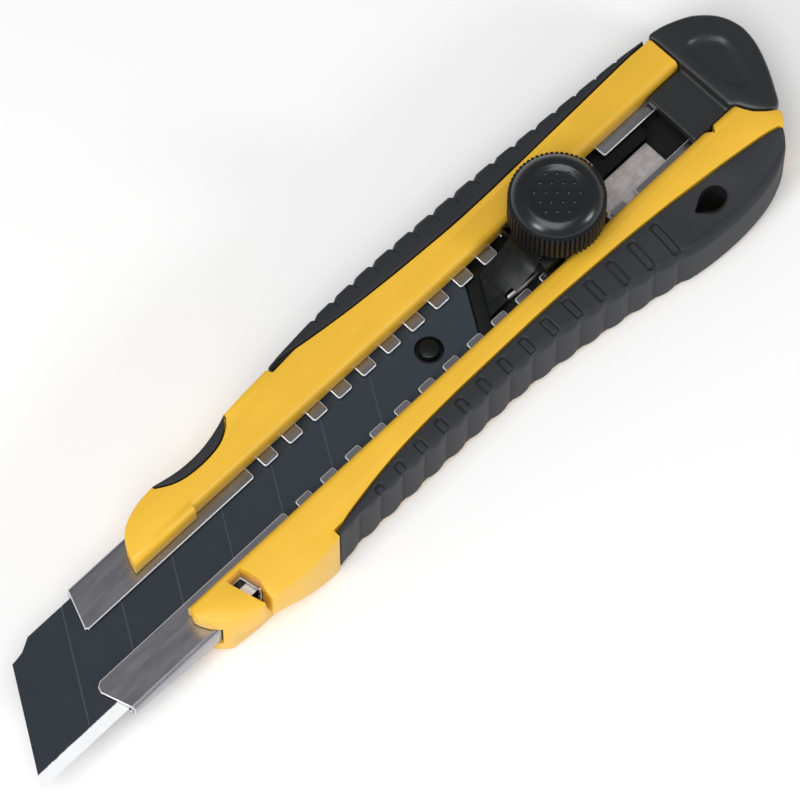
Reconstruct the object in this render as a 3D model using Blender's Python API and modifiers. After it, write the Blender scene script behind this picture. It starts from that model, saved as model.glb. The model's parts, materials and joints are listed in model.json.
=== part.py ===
"""Snap-off utility knife with a screw-wheel lock, as an assembly of separate pieces.

Frame: the origin is on the flat back face, on the blade channel's centre line, where the run of
teeth starts. +X runs along the knife to its tail, +Y to the blade's spine, +Z out of the knob.
"""

import math

import bmesh
import bpy
from mathutils import Matrix, Vector

MM = 0.001
CLEAR = 0.3 * MM  # gap between neighbouring pieces

# Blade: a standard snap-off blade, cutting edge towards -Y
BLADE_WIDTH = 18.0 * MM
BLADE_THICK = 0.5 * MM
BLADE_TIP = -54.5 * MM
BLADE_LENGTH = 90.0 * MM
BLADE_SLANT = 11.0 * MM  # how far the front edge leans over the blade's width
SEGMENT = 10.0 * MM
SCORE_DEPTH = 0.12 * MM
GRIND = 1.8 * MM  # width of the ground cutting edge
PIN_X = 32.2 * MM
PIN_RADIUS = 1.6 * MM
PIN_RISE = 0.7 * MM  # above the blade
BLADE_HOLE = PIN_RADIUS + 0.6 * MM

# Blade channel: one folded strip of steel, a C in section, with toothed lips
SHEET = 0.7 * MM
CHANNEL_DEPTH = 4.9 * MM
CHANNEL_NOSE_DEPTH = 2.5 * MM
CHANNEL_HALF = BLADE_WIDTH / 2 + CLEAR + SHEET
LIP_GAP = 6.8 * MM
TAPER_START = -20.0 * MM
TOOTH_PITCH = 5.0 * MM
TOOTH_GAP = 2.2 * MM
TOOTH_DEPTH = 2.8 * MM
TOOTH_RUN = 70.0 * MM
TOOTH_STAGGER = 0.9 * MM  # the edge side's teeth lie this far ahead

# Handle
REAR = 89.4 * MM  # rear face of the yellow body
FLOOR = 3.8 * MM  # body under the channel
RAIL_HEIGHT = 3.5 * MM  # body above the channel's lips
SLOT_HALF = 5.2 * MM
SLOT_STEP = 0.6 * MM  # how much the spine rail narrows the slot at its front
SLOT_STEP_X = -10.5 * MM
RAIL_ROUND = 1.2 * MM
CORE_TOP_DROP = 2.2 * MM  # how far the body lies under the grips' top
GRIP_RAISE = 0.4 * MM  # grips stop this far above the back face

# Lock
KNOB_X = 58.4 * MM
KNOB_RADIUS = 7.25 * MM
KNOB_HEIGHT = 7.0 * MM
KNURLS = 60
SCREW_RADIUS = 2.0 * MM
PLATFORM_RISE = 4.8 * MM  # slider's platform above the lips
WASHER_THICK = 0.8 * MM
WASHER_RADIUS = 4.4 * MM
HEAD_RADIUS = 3.4 * MM
HEAD_THICK = 0.7 * MM
INSERT_RADIUS = 3.3 * MM
PLATE_FRONT = KNOB_X - 8.6 * MM  # clamp plate: its wide part runs from here ...
PLATE_REAR = KNOB_X + 7.4 * MM  # ... to here, and then a narrow tail
PLATE_TAIL = 13.0 * MM
PLATE_THICK = 0.7 * MM
SPRING_THICK = 0.35 * MM

# End cap
CAP_LENGTH = 11.9 * MM
TONGUE_REACH = 6.7 * MM
TONGUE_THICK = 1.7 * MM

# Heights that follow
LIP_TOP = FLOOR + CLEAR + CHANNEL_DEPTH
LIP_UNDER = LIP_TOP - SHEET
RAIL_TOP = LIP_TOP + CLEAR + RAIL_HEIGHT
CHANNEL_FLOOR = LIP_TOP - CHANNEL_DEPTH + SHEET
BLADE_TOP = LIP_UNDER - CLEAR
BLADE_UNDER = BLADE_TOP - BLADE_THICK
TONGUE_TOP = BLADE_UNDER - CLEAR  # slider's tongue, under the blade
PLATFORM_TOP = LIP_TOP + PLATFORM_RISE
WASHER_LOW = PLATFORM_TOP + CLEAR
KNOB_LOW = WASHER_LOW + WASHER_THICK + 2 * CLEAR
KNOB_TOP = KNOB_LOW + KNOB_HEIGHT
POCKET_HALF = CHANNEL_HALF + CLEAR
DETENT_FRONT = KNOB_X - 12.6 * MM  # steel strip along the slider's side
DETENT_LENGTH = 6.6 * MM
DETENT_LOW = LIP_TOP - 0.5 * MM
DETENT_WIDTH = 1.1 * MM
DETENT_DEPTH = 0.9 * MM
ABOVE = RAIL_TOP + 20.0 * MM  # cutters end here, clear of everything
BELOW = -5.0 * MM

YELLOW = (0.87, 0.54, 0.055)
BLACK = (0.032, 0.034, 0.037)
RUBBER = (0.048, 0.050, 0.055)
BLADE_BLACK = (0.023, 0.031, 0.040)
STEEL = (0.45, 0.45, 0.46)
BRASS = (0.60, 0.42, 0.16)


# ---------------------------------------------------------------- helpers

def clear_scene():
    for obj in list(bpy.data.objects):
        bpy.data.objects.remove(obj, do_unlink=True)
    for name in ("utility_knife", "cutters"):
        bpy.context.scene.collection.children.link(bpy.data.collections.new(name))


def curve_through(points, steps=4):
    """Points on a smooth (Catmull-Rom) line through the given ones."""
    ends = [points[0]] + list(points) + [points[-1]]
    line = []
    for a, b, c, d in zip(ends, ends[1:], ends[2:], ends[3:]):
        for step in range(steps):
            t = step / steps
            line.append(tuple(
                0.5 * (2 * q + (r - p) * t + (2 * p - 5 * q + 4 * r - s) * t ** 2
                       + (3 * q - p - 3 * r + s) * t ** 3)
                for p, q, r, s in zip(a, b, c, d)))
    line.append(tuple(points[-1]))
    return line


def offset(line, distance):
    """An open line moved sideways, to the left of its direction."""
    moved = []
    for i, point in enumerate(line):
        ahead = Vector(line[min(i + 1, len(line) - 1)])
        behind = Vector(line[max(i - 1, 0)])
        along = (ahead - behind).normalized()
        moved.append((point[0] - along.y * distance, point[1] + along.x * distance))
    return moved


def spine(x, beyond):
    """A point on the spine side: x, and millimetres outside the channel's side."""
    return (x * MM, CHANNEL_HALF + beyond * MM)


def edge(x, beyond):
    """The same on the cutting edge's side."""
    return (x * MM, -CHANNEL_HALF - beyond * MM)


def rear_spine(x, beyond):
    """A point on the spine side, with x in millimetres from the body's rear face."""
    return (REAR + x * MM, CHANNEL_HALF + beyond * MM)


def rear_edge(x, beyond):
    return (REAR + x * MM, -CHANNEL_HALF - beyond * MM)


def place(mesh, name, collection):
    obj = bpy.data.objects.new(name, mesh)
    bpy.data.collections[collection].objects.link(obj)
    if collection == "cutters":
        obj.hide_render = True
        obj.display_type = "WIRE"
    return obj


def plate(name, outline, low, high, collection="cutters", turn=Matrix()):
    """A flat outline, extruded from low to high, then turned."""
    data = bpy.data.curves.new(name, "CURVE")
    data.dimensions = "2D"
    data.fill_mode = "BOTH"
    data.extrude = (high - low) / 2
    spline = data.splines.new("POLY")
    spline.points.add(len(outline) - 1)
    for point, (u, v) in zip(spline.points, outline):
        point.co = (u, v, 0, 1)
    spline.use_cyclic_u = True
    source = bpy.data.objects.new(name, data)
    bpy.context.scene.collection.objects.link(source)
    graph = bpy.context.evaluated_depsgraph_get()
    mesh = bpy.data.meshes.new_from_object(source.evaluated_get(graph))
    bpy.data.objects.remove(source, do_unlink=True)
    work = bmesh.new()
    work.from_mesh(mesh)
    bmesh.ops.remove_doubles(work, verts=work.verts, dist=1e-6)
    bmesh.ops.recalc_face_normals(work, faces=work.faces)
    bmesh.ops.translate(work, verts=work.verts, vec=(0, 0, (high + low) / 2))
    bmesh.ops.dissolve_limit(work, angle_limit=0.01, verts=work.verts, edges=work.edges)
    work.to_mesh(mesh)
    work.free()
    mesh.transform(turn)
    return place(mesh, name, collection)


ALONG_X = Matrix(((0, 0, 1, 0), (1, 0, 0, 0), (0, 1, 0, 0), (0, 0, 0, 1)))
ALONG_Y = Matrix(((1, 0, 0, 0), (0, 0, 1, 0), (0, 1, 0, 0), (0, 0, 0, 1)))


def bar(name, section, front, rear, collection="cutters"):
    """A section in Y and Z, extruded along X."""
    return plate(name, section, front, rear, collection, ALONG_X)


def slab(name, profile, low, high, collection="cutters"):
    """A profile in X and Z, extruded along Y."""
    obj = plate(name, profile, low, high, collection, ALONG_Y)
    work = bmesh.new()
    work.from_mesh(obj.data)
    bmesh.ops.recalc_face_normals(work, faces=work.faces)
    work.to_mesh(obj.data)
    work.free()
    return obj


def rod(name, radius, x, low, high, collection="cutters", sides=32):
    """A round bar along Z."""
    ring = [(x + radius * math.cos(2 * math.pi * i / sides), radius * math.sin(2 * math.pi * i / sides))
            for i in range(sides)]
    return plate(name, ring, low, high, collection)


def box(name, x0, x1, y0, y1, z0, z1, collection="cutters"):
    return plate(name, [(x0, y0), (x1, y0), (x1, y1), (x0, y1)], z0, z1, collection)


def boolean(obj, operation, *tools):
    """One Boolean step with every tool at once, which get a collection of their own."""
    group = bpy.data.collections.new(f"{obj.name}_{operation.lower()}")
    bpy.data.collections["cutters"].children.link(group)
    for tool in tools:
        bpy.data.collections["cutters"].objects.unlink(tool)
        group.objects.link(tool)
    step = obj.modifiers.new(operation.lower(), "BOOLEAN")
    step.operation = operation
    step.operand_type = "COLLECTION"
    step.collection = group
    step.solver = "EXACT"


def cut(obj, *tools):
    boolean(obj, "DIFFERENCE", *tools)


def join(obj, *tools):
    boolean(obj, "UNION", *tools)


def round_edges(obj, width, segments=2, angle=40):
    step = obj.modifiers.new("round", "BEVEL")
    step.width = width
    step.segments = segments
    step.limit_method = "ANGLE"
    step.angle_limit = math.radians(angle)


def finish(obj, colour, roughness, metallic=0.0, origin=(0, 0, 0)):
    """Gives a piece its material and puts its origin where it turns or slides."""
    material = bpy.data.materials.new(obj.name)
    material.use_nodes = True
    shader = material.node_tree.nodes["Principled BSDF"]
    shader.inputs["Base Color"].default_value = (*colour, 1)
    shader.inputs["Roughness"].default_value = roughness
    shader.inputs["Metallic"].default_value = metallic
    obj.data.materials.append(material)
    obj.data.transform(Matrix.Translation(-Vector(origin)))
    obj.location = origin


# ---------------------------------------------------------------- lines that pieces share

def edge_seam():
    """Top line between the body and the edge grip, front to rear."""
    return curve_through([
        edge(1.2, 2.0), edge(3.2, 1.5), edge(6, 0.9), edge(12, -0.1), edge(19, -0.85),
        edge(29, -1.3), edge(45, -1.45), rear_edge(-30.4, -1.1), rear_edge(-20.4, -0.55),
        rear_edge(-10.4, 0.35), rear_edge(-0.4, 1.6), rear_edge(3.2, 2.35)], 3)


def edge_side():
    """Outermost line of the edge grip."""
    return curve_through([
        edge(1.2, 2.9), edge(5, 2.6), edge(17, 2.6), edge(37, 2.6), edge(47, 3.4),
        rear_edge(-32.4, 4.8), rear_edge(-23.4, 6.4), rear_edge(-18.4, 7.5), rear_edge(-12.4, 8.05),
        rear_edge(-7.0, 7.9), rear_edge(-2.4, 7.1), rear_edge(1.6, 5.4), rear_edge(3.5, 3.5)], 3)


def edge_core():
    """Side of the body under the edge grip."""
    return curve_through([
        edge(1.2, 1.6), edge(20, 1.6), edge(37, 1.6), edge(47, 2.2), rear_edge(-32.4, 3.4),
        rear_edge(-23.4, 4.9), rear_edge(-12.4, 6.5), rear_edge(-3.4, 5.6), rear_edge(1.4, 3.7)], 3)


def spine_seam():
    """Top line between the body and the spine grip, front to rear."""
    return curve_through([
        spine(12.3, 2.5), spine(15, 2.6), spine(19, 2.05), spine(24, 1.45), spine(30, 0.9),
        spine(39, 0.35), spine(49, 0.0), rear_spine(-30.4, 0.1), rear_spine(-20.4, 0.4),
        rear_spine(-10.4, 0.75), rear_spine(-1.0, 1.0)], 3)


def spine_side():
    """Outermost line of the spine grip."""
    return curve_through([
        spine(12.3, 3.2), spine(16, 3.75), spine(22.6, 4.4), spine(28, 4.6), spine(35, 4.65),
        spine(46, 4.35), rear_spine(-31.4, 3.85), rear_spine(-19.4, 3.1), rear_spine(-7.4, 2.3),
        rear_spine(-1.0, 1.6)], 3)


def spine_core():
    """Side of the body under the spine grip."""
    return curve_through([
        spine(12.3, 2.1), spine(22.6, 2.8), spine(30, 3.1), spine(40, 3.05), spine(50, 2.8),
        rear_spine(-29.4, 2.3), rear_spine(-19.4, 1.75), rear_spine(-9.4, 1.2), rear_spine(-1.0, 0.85)], 3)


def pad_side():
    """The thumb's hollow in the spine side, front to rear."""
    return curve_through([
        spine(-12.6, 1.55), spine(-11.2, 1.25), spine(-9.3, 0.85), spine(-7, 0.6), spine(-4, 0.65),
        spine(-1, 1.15), spine(1.4, 1.85), spine(2.6, 2.35)], 2)


def pad_seam():
    """Top line between the body and the thumb pad."""
    return curve_through([
        spine(-12.6, 1.05), spine(-10.4, -0.25), spine(-8, -0.95), spine(-5, -1.15), spine(-2, -0.9),
        spine(0, -0.25), spine(1.6, 0.75), spine(2.6, 1.9)], 2)


def rear_line():
    """Rear end of the body, from the spine side to the edge side."""
    return [
        rear_spine(-0.6, 1.0), rear_spine(-0.2, 0.8), rear_spine(-0.05, 0.4), (REAR, SLOT_HALF),
        (REAR + 0.2 * MM, -SLOT_HALF), rear_edge(0.9, -4.4), rear_edge(1.5, -3.1),
        rear_edge(2.2, -1.9), rear_edge(3.5, -0.6), rear_edge(4.8, 0.4), rear_edge(5.2, 0.9)]


def rail_nose_spine():
    """Front of the spine rail, from the channel round to the thumb's hollow."""
    return curve_through([
        spine(-22.8, -6.4), spine(-22.2, -3.9), spine(-21.0, -1.6), spine(-19.4, -0.1),
        spine(-17.3, 0.8), spine(-15.0, 1.35), spine(-12.6, 1.55)], 2)


def rail_nose_edge():
    """Side of the body's front on the edge side, from the edge grip to the nose."""
    return curve_through([
        edge(1.2, 2.9), edge(-1.5, 3.3), edge(-4.5, 3.5), edge(-8, 3.4), edge(-11, 3.0),
        edge(-14.5, 2.7), edge(-16.5, 2.2), edge(-18.4, 1.2), edge(-20.2, 0.0), edge(-21.4, -1.6),
        edge(-22.0, -3.2), edge(-21.6, -4.3)], 2)


def twine_slot(grow):
    """Slanted slot where a string reaches the cutting edge, widened by grow."""
    right = [edge(-12.3, -3.7), edge(-11.6, -0.5), edge(-12.2, 1.5), edge(-12.7, 8)]
    left = [edge(-13.5, 8), edge(-13.6, 2.6), edge(-14.0, 1.2), edge(-14.5, -0.5), edge(-15.3, -3.7)]
    return [(x + grow, y) for x, y in right] + [(x - grow, y) for x, y in left]


def lanyard_hole(grow):
    """Drop-shaped hole through the tail of the handle."""
    centre_x, centre_y = rear_edge(-12.0, 3.5)
    reach, half = 2.5 * MM + grow, 1.95 * MM + grow
    ring = [(centre_x + reach * math.cos(a), centre_y + half * math.sin(a))
            for a in (math.radians(15 * i - 120) for i in range(17))]
    return ring + [(centre_x - 3.8 * MM - grow, centre_y + 0.3 * MM)]


def body_outline():
    nose = rail_nose_spine() + pad_side()[1:] + [spine(7, 2.75), spine(11.8, 3.05)]
    side = spine_core()
    back = [rear_edge(4.9, 1.6), rear_edge(4.2, 2.4), rear_edge(3.4, 3.1), rear_edge(2.6, 3.1)]
    return nose + side + rear_line() + back + edge_core()[::-1] + rail_nose_edge()


# ---------------------------------------------------------------- handle

def make_body():
    body = plate("body", body_outline(), 0, RAIL_TOP, "utility_knife")
    round_edges(body, 1.2 * MM)
    far = 60 * MM
    pocket = box("channel_pocket", -far, REAR + far, -POCKET_HALF, POCKET_HALF, FLOOR, LIP_TOP + CLEAR)
    flare = [(SLOT_HALF + RAIL_ROUND * (1 - math.cos(a)), RAIL_TOP - RAIL_ROUND * (1 - math.sin(a)))
             for a in (math.radians(30 * i) for i in range(4))]
    half = [(SLOT_HALF, LIP_TOP)] + flare + [(SLOT_HALF + RAIL_ROUND, ABOVE)]
    other = [(-y, z) for y, z in reversed(half)]
    slot = bar("slider_slot", half + other, SLOT_STEP_X, REAR + far)
    narrow = bar("slider_slot_front", [(y - SLOT_STEP, z) for y, z in half] + other, -far, SLOT_STEP_X + 1 * MM)
    ledge = RAIL_TOP - CORE_TOP_DROP
    outside = 40 * MM
    edge_seat = plate("edge_grip_seat", edge_seam() + [
        rear_edge(3.9, 8), rear_edge(0, outside / MM), edge(1.2, outside / MM)], ledge, ABOVE)
    spine_seat = plate("spine_grip_seat", spine_seam() + [
        (REAR - 1.0 * MM, outside), (12.3 * MM, outside)], ledge, ABOVE)
    pad_seat = plate("thumb_pad_seat", pad_seam() + [
        (2.6 * MM, outside), (-12.6 * MM, outside)], ledge, ABOVE)
    slot_cut = plate("twine_slot", twine_slot(0), CHANNEL_FLOOR - 1.0 * MM, ABOVE)
    hole = plate("lanyard_hole", lanyard_hole(0), BELOW, ABOVE)
    notch = plate("cap_notch", [
        (REAR - 5.5 * MM, -SLOT_HALF + 1 * MM), (REAR - 5.5 * MM, -SLOT_HALF),
        (REAR - 4.3 * MM, -SLOT_HALF - 1.4 * MM), (REAR - 3.2 * MM, -SLOT_HALF),
        (REAR - 3.2 * MM, -SLOT_HALF + 1 * MM)], LIP_TOP + 2 * CLEAR, ABOVE)
    ramp = slab("nose_ramp", [
        (-far, BELOW), (-13 * MM, BELOW), (-13 * MM, -0.1 * MM), (-24 * MM, 2.6 * MM),
        (-far, 2.6 * MM)], -outside, outside)
    chin_side = -POCKET_HALF - 0.8 * MM
    chin = slab("chin", [
        (1.0 * MM, BELOW), (1.0 * MM, -0.1 * MM), (-5.0 * MM, 2.8 * MM), (-9.5 * MM, 5.2 * MM),
        (-12.5 * MM, 6.3 * MM), (-far, 6.3 * MM), (-far, BELOW)], -outside, chin_side)
    cut(body, pocket, slot, narrow, chin, edge_seat, spine_seat, pad_seat, slot_cut, hole, notch, ramp)
    finish(body, YELLOW, 0.35)


def make_grips():
    ledge = RAIL_TOP - CORE_TOP_DROP + CLEAR
    hole = plate("grip_lanyard_hole", lanyard_hole(0.25 * MM), BELOW, ABOVE)

    line = offset(edge_seam(), -CLEAR)
    grip = plate("edge_grip", line + edge_side()[::-1], GRIP_RAISE, RAIL_TOP, "utility_knife")
    round_edges(grip, 0.5 * MM)
    inner = offset(edge_core(), -CLEAR)
    core = plate("edge_grip_core", inner + [rear_edge(9, 2), rear_edge(9, -9), edge(-5, -9), edge(-5, 1.9)],
                 BELOW, ledge)
    cut(grip, hole)
    cut(grip, core)
    finish(grip, RUBBER, 0.65)

    line = offset(spine_seam(), CLEAR)
    grip = plate("spine_grip", line + spine_side()[::-1], GRIP_RAISE, RAIL_TOP, "utility_knife")
    round_edges(grip, 0.35 * MM)
    inner = offset(spine_core(), CLEAR)
    core = plate("spine_grip_core", inner + [rear_spine(9, 1.4), rear_spine(9, -9), spine(5, -9), spine(5, 2.8)],
                 BELOW, ledge)
    cut(grip, core)
    finish(grip, RUBBER, 0.65)

    line = offset(pad_seam(), CLEAR)
    pad = plate("thumb_pad", line + pad_side()[::-1], ledge, RAIL_TOP, "utility_knife")
    finish(pad, RUBBER, 0.6)


def make_channel():
    front = -39.0 * MM
    end = REAR - 1.4 * MM
    low = LIP_TOP - CHANNEL_DEPTH
    nose_low = LIP_TOP - CHANNEL_NOSE_DEPTH
    profile = [(front - 3 * MM, LIP_TOP), (front - 3 * MM, nose_low), (front, nose_low), (TAPER_START, low),
               (end, low), (end, LIP_TOP)]
    channel = slab("blade_channel", profile, -CHANNEL_HALF, CHANNEL_HALF, "utility_knife")
    round_edges(channel, SHEET, 3, 60)
    inside = slab("channel_inside", [
        (front - 9 * MM, LIP_UNDER), (front - 9 * MM, nose_low + SHEET), (front, nose_low + SHEET),
        (TAPER_START, low + SHEET), (end + 9 * MM, low + SHEET), (end + 9 * MM, LIP_UNDER)],
        -CHANNEL_HALF + SHEET, CHANNEL_HALF - SHEET)
    gap = box("lip_gap", front - 9 * MM, end + 9 * MM, -LIP_GAP / 2, LIP_GAP / 2, BLADE_TOP, ABOVE)
    far = -90 * MM
    nose = plate("channel_nose", [
        (far, 30 * MM), (-28.0 * MM, 30 * MM), (-31.2 * MM, CHANNEL_HALF - 0.1 * MM),
        (-33.2 * MM, LIP_GAP / 2 + 1.4 * MM), (-33.6 * MM, LIP_GAP / 2 + 0.4 * MM),
        (-33.0 * MM, LIP_GAP / 2 - 0.1 * MM), (-37.4 * MM, -LIP_GAP / 2 + 0.1 * MM),
        (-38.4 * MM, -LIP_GAP / 2 - 0.5 * MM), (-38.7 * MM, -LIP_GAP / 2 - 1.4 * MM),
        (-37.0 * MM, -CHANNEL_HALF + 0.1 * MM), (-36.0 * MM, -30 * MM), (far, -30 * MM)], BELOW, ABOVE)
    slot = plate("channel_twine_slot", twine_slot(-0.2 * MM), BLADE_UNDER - 1.0 * MM, ABOVE)
    gaps = []
    for side in (-1, 1):
        for k in range(round(TOOTH_RUN / TOOTH_PITCH) + 1):
            x = k * TOOTH_PITCH - (TOOTH_STAGGER if side < 0 else 0)
            inner = side * (LIP_GAP / 2 - 1 * MM)
            outer = side * (LIP_GAP / 2 + TOOTH_DEPTH)
            name = f"tooth_gap_{'spine' if side > 0 else 'edge'}_{k}"
            gaps.append(box(name, x, x + TOOTH_GAP, min(inner, outer), max(inner, outer),
                            BLADE_TOP, ABOVE))
    cut(channel, inside, gap, nose, slot, *gaps)
    finish(channel, STEEL, 0.3, 1.0)


def make_end_cap():
    front = offset(rear_line(), CLEAR)
    tail = REAR + CAP_LENGTH
    side = curve_through([
        rear_spine(0.4, 1.7), rear_spine(2.6, 1.45), (tail - 5.6 * MM, CHANNEL_HALF + 0.3 * MM),
        (tail - 3.6 * MM, CHANNEL_HALF - 0.7 * MM), (tail - 1.6 * MM, CHANNEL_HALF - 2.5 * MM),
        (tail - 0.5 * MM, 5.6 * MM), (tail, 3.6 * MM), (tail, 2.2 * MM), (tail - 0.4 * MM, 0),
        (tail - 1.3 * MM, -2.4 * MM), (tail - 2.6 * MM, -5.0 * MM),
        (tail - 4.0 * MM, 2.7 * MM - CHANNEL_HALF), (tail - 5.4 * MM, 0.5 * MM - CHANNEL_HALF)], 3)
    cap = plate("end_cap", side + front[::-1][1:-1], GRIP_RAISE, RAIL_TOP - 0.2 * MM, "utility_knife")
    round_edges(cap, 1.3 * MM, 3)
    tongue = plate("cap_tongue", [
        (REAR - TONGUE_REACH, SLOT_HALF - CLEAR), (REAR - TONGUE_REACH, CLEAR - SLOT_HALF),
        (REAR + 3 * MM, CLEAR - SLOT_HALF), (REAR + 3 * MM, SLOT_HALF - CLEAR)],
        LIP_TOP + CLEAR, LIP_TOP + CLEAR + TONGUE_THICK)
    hollow = plate("cap_hollow", curve_through([
        (REAR - 2 * MM, 1.4 * MM - CHANNEL_HALF), (REAR + 3.8 * MM, 1.6 * MM - CHANNEL_HALF),
        (tail - 4.2 * MM, -5.3 * MM), (tail - 2.4 * MM, -1.5 * MM), (tail - 2.1 * MM, 2.0 * MM),
        (tail - 2.4 * MM, 5.0 * MM), (tail - 3.5 * MM, CHANNEL_HALF - 2.4 * MM),
        (tail - 6.3 * MM, CHANNEL_HALF - 0.8 * MM), (REAR - 2 * MM, CHANNEL_HALF - 0.8 * MM)], 2),
        CHANNEL_FLOOR, LIP_UNDER + CLEAR)
    dish = plate("cap_thumb_recess", curve_through([
        (tail - 9.6 * MM, 4.0 * MM), (tail - 9.2 * MM, 6.2 * MM), (tail - 7.0 * MM, 6.4 * MM),
        (tail - 4.0 * MM, 4.0 * MM), (tail - 4.2 * MM, 1.2 * MM), (tail - 6.4 * MM, -4.2 * MM),
        (tail - 8.2 * MM, -3.6 * MM), (tail - 9.6 * MM, 0), (tail - 9.6 * MM, 4.0 * MM)], 2)[:-1],
        RAIL_TOP - 1.0 * MM, ABOVE)
    join(cap, tongue)
    cut(cap, hollow, dish)
    finish(cap, BLACK, 0.45, origin=(REAR, 0, LIP_TOP))


# ---------------------------------------------------------------- blade and slider

def blade_lean(y):
    """X of the blade's slanted lines at y, from where they meet the cutting edge."""
    return BLADE_SLANT * (y + BLADE_WIDTH / 2) / BLADE_WIDTH


def make_blade():
    half = BLADE_WIDTH / 2
    rear = BLADE_TIP + BLADE_LENGTH
    notch = [(BLADE_TIP + blade_lean(half - 1.5 * MM), half - 1.5 * MM),
             (BLADE_TIP + 12.2 * MM, half - 1.2 * MM), (BLADE_TIP + 13.6 * MM, half - 0.5 * MM),
             (BLADE_TIP + 14.5 * MM, half)]
    outline = [(BLADE_TIP, -half)] + notch + [(rear + BLADE_SLANT, half), (rear, -half)]
    blade = plate("blade", outline, BLADE_UNDER, BLADE_TOP, "utility_knife")
    land = 0.08 * MM
    far = 200 * MM
    above = bar("grind_above", [
        (-half + GRIND, BLADE_TOP), (-half - 1 * MM, BLADE_TOP - BLADE_THICK / 2 + land / 2 - 0.1 * MM),
        (-half - 1 * MM, BLADE_TOP + 1 * MM), (-half + GRIND, BLADE_TOP + 1 * MM)], -far, far)
    below = bar("grind_below", [
        (-half + GRIND, BLADE_UNDER), (-half + GRIND, BLADE_UNDER - 1 * MM),
        (-half - 1 * MM, BLADE_UNDER - 1 * MM),
        (-half - 1 * MM, BLADE_UNDER + BLADE_THICK / 2 - land / 2 + 0.1 * MM)], -far, far)
    hole = rod("blade_hole", BLADE_HOLE, PIN_X, BELOW, ABOVE)
    reach = half - GRIND
    scores = []
    last = PIN_X - BLADE_HOLE - BLADE_SLANT
    count = int((last - BLADE_TIP) / SEGMENT)
    for k in range(1, count + 1):
        x = BLADE_TIP + k * SEGMENT
        line = [(x + blade_lean(-reach + 0.3 * MM), -reach + 0.3 * MM),
                (x + blade_lean(half + 1 * MM), half + 1 * MM)]
        back = [(u + 0.3 * MM, v) for u, v in reversed(line)]
        scores.append(plate(f"score_line_{k}", line + back, BLADE_TOP - SCORE_DEPTH, ABOVE))
    cut(blade, above, below, hole, *scores)
    finish(blade, BLADE_BLACK, 0.35, 0.6, origin=(PIN_X, 0, BLADE_UNDER))


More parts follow.
